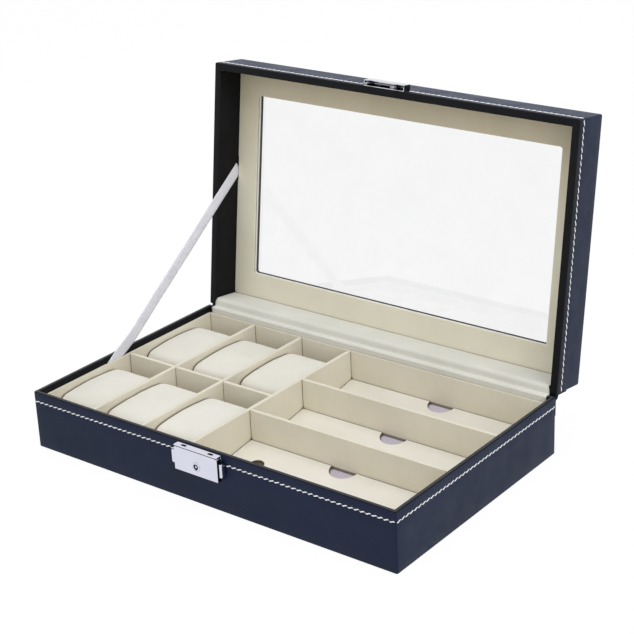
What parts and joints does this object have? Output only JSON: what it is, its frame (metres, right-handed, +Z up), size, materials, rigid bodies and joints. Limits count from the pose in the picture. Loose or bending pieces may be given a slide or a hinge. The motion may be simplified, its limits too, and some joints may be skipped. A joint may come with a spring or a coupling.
{
  "type": "watch and glasses case",
  "caption": "Shallow leather-covered case with a hinged glazed lid and a sliding-latch lock, with padded watch places and long glasses places.",
  "frame": {"origin": "centre of the base's underside, on the surface that the case stands on", "axes": "+X to the right seen from the front, -Y out of the front with the lock, +Z up"},
  "size_m": [0.335, 0.2694, 0.2542],
  "materials": {
    "felt": "short felt, dark navy",
    "board": "plain fibreboard",
    "leather": "navy leather with a fine pebble grain, semi-matt",
    "lining": "cream suede-like cloth, matt",
    "card": "grey pressed card, matt",
    "pillow": "pale cream cloth, matt",
    "glass": "clear, polished",
    "chrome": "bright plating",
    "spring_steel": "cold-rolled strip",
    "ribbon": "satin ribbon with a slight sheen"
  },
  "bodies": {
    "base": {"base_felt": "felt", "base_bottom_board": "board", "base_front_board": "board", "base_back_board": "board", "base_left_board": "board", "base_right_board": "board", "base_leather": "leather", "liner_front": "lining", "liner_back": "lining", "liner_left": "lining", "liner_right": "lining", "floor_lining": "lining", "main_divider": "lining", "row_divider": "lining", "column_divider_1": "lining", "column_divider_2": "lining", "glasses_divider_front": "lining", "glasses_divider_rear": "lining", "glasses_riser_front": "card", "glasses_riser_middle": "card", "glasses_riser_rear": "card", "lock_housing": "chrome", "lock_cover": "chrome", "lock_rivets": "chrome", "latch_spring": "spring_steel", "hinge_cloth": "lining", "hinge_leather": "leather", "stay_ribbon": "ribbon"},
    "lid": {"lid_front_board": "board", "lid_back_board": "board", "lid_left_board": "board", "lid_right_board": "board", "lid_top_board": "board", "lid_leather": "leather", "inner_frame": "lining", "packing_frame": "card", "glass_pane": "glass", "keeper_shell": "chrome", "keeper_hooks": "chrome", "keeper_rivets": "chrome"},
    "latch": {"latch_slider": "chrome"},
    "key": {"key_plug": "chrome"},
    "watch_pillow_front_1": {"watch_pillow_front_1": "pillow"},
    "watch_pillow_front_2": {"watch_pillow_front_2": "pillow"},
    "watch_pillow_front_3": {"watch_pillow_front_3": "pillow"},
    "watch_pillow_rear_1": {"watch_pillow_rear_1": "pillow"},
    "watch_pillow_rear_2": {"watch_pillow_rear_2": "pillow"},
    "watch_pillow_rear_3": {"watch_pillow_rear_3": "pillow"},
    "glasses_floor_front": {"glasses_floor_front": "lining"},
    "glasses_floor_middle": {"glasses_floor_middle": "lining"},
    "glasses_floor_rear": {"glasses_floor_rear": "lining"}
  },
  "joints": [
    {"name": "lid_hinge", "type": "hinge", "parent": "base", "child": "lid", "pos_m": [0, 0.1021, 0.0474], "axis": [-1, 0, 0], "range_deg": [-97.5, 0], "deforming": ["hinge_cloth", "hinge_leather", "stay_ribbon"]},
    {"name": "latch_slide", "type": "slide", "parent": "base", "child": "latch", "axis": [-1, 0, 0], "range_m": [0, 0.0022], "stiffness_N_per_m": 150, "springref_m": -0.002, "deforming": ["latch_spring"]},
    {"name": "key_turn", "type": "hinge", "parent": "base", "child": "key", "pos_m": [0, -0.1071, 0.0335], "axis": [0, 1, 0], "range_deg": [-90, 0]},
    {"name": "lift_watch_pillow_front_1", "type": "slide", "parent": "base", "child": "watch_pillow_front_1", "axis": [0, 0, 1], "range_m": [0, 0.055]},
    {"name": "lift_watch_pillow_front_2", "type": "slide", "parent": "base", "child": "watch_pillow_front_2", "axis": [0, 0, 1], "range_m": [0, 0.055]},
    {"name": "lift_watch_pillow_front_3", "type": "slide", "parent": "base", "child": "watch_pillow_front_3", "axis": [0, 0, 1], "range_m": [0, 0.055]},
    {"name": "lift_watch_pillow_rear_1", "type": "slide", "parent": "base", "child": "watch_pillow_rear_1", "axis": [0, 0, 1], "range_m": [0, 0.055]},
    {"name": "lift_watch_pillow_rear_2", "type": "slide", "parent": "base", "child": "watch_pillow_rear_2", "axis": [0, 0, 1], "range_m": [0, 0.055]},
    {"name": "lift_watch_pillow_rear_3", "type": "slide", "parent": "base", "child": "watch_pillow_rear_3", "axis": [0, 0, 1], "range_m": [0, 0.055]},
    {"name": "lift_glasses_floor_front", "type": "slide", "parent": "base", "child": "glasses_floor_front", "axis": [0, 0, 1], "range_m": [0, 0.035]},
    {"name": "lift_glasses_floor_middle", "type": "slide", "parent": "base", "child": "glasses_floor_middle", "axis": [0, 0, 1], "range_m": [0, 0.035]},
    {"name": "lift_glasses_floor_rear", "type": "slide", "parent": "base", "child": "glasses_floor_rear", "axis": [0, 0, 1], "range_m": [0, 0.035]}
  ]
}
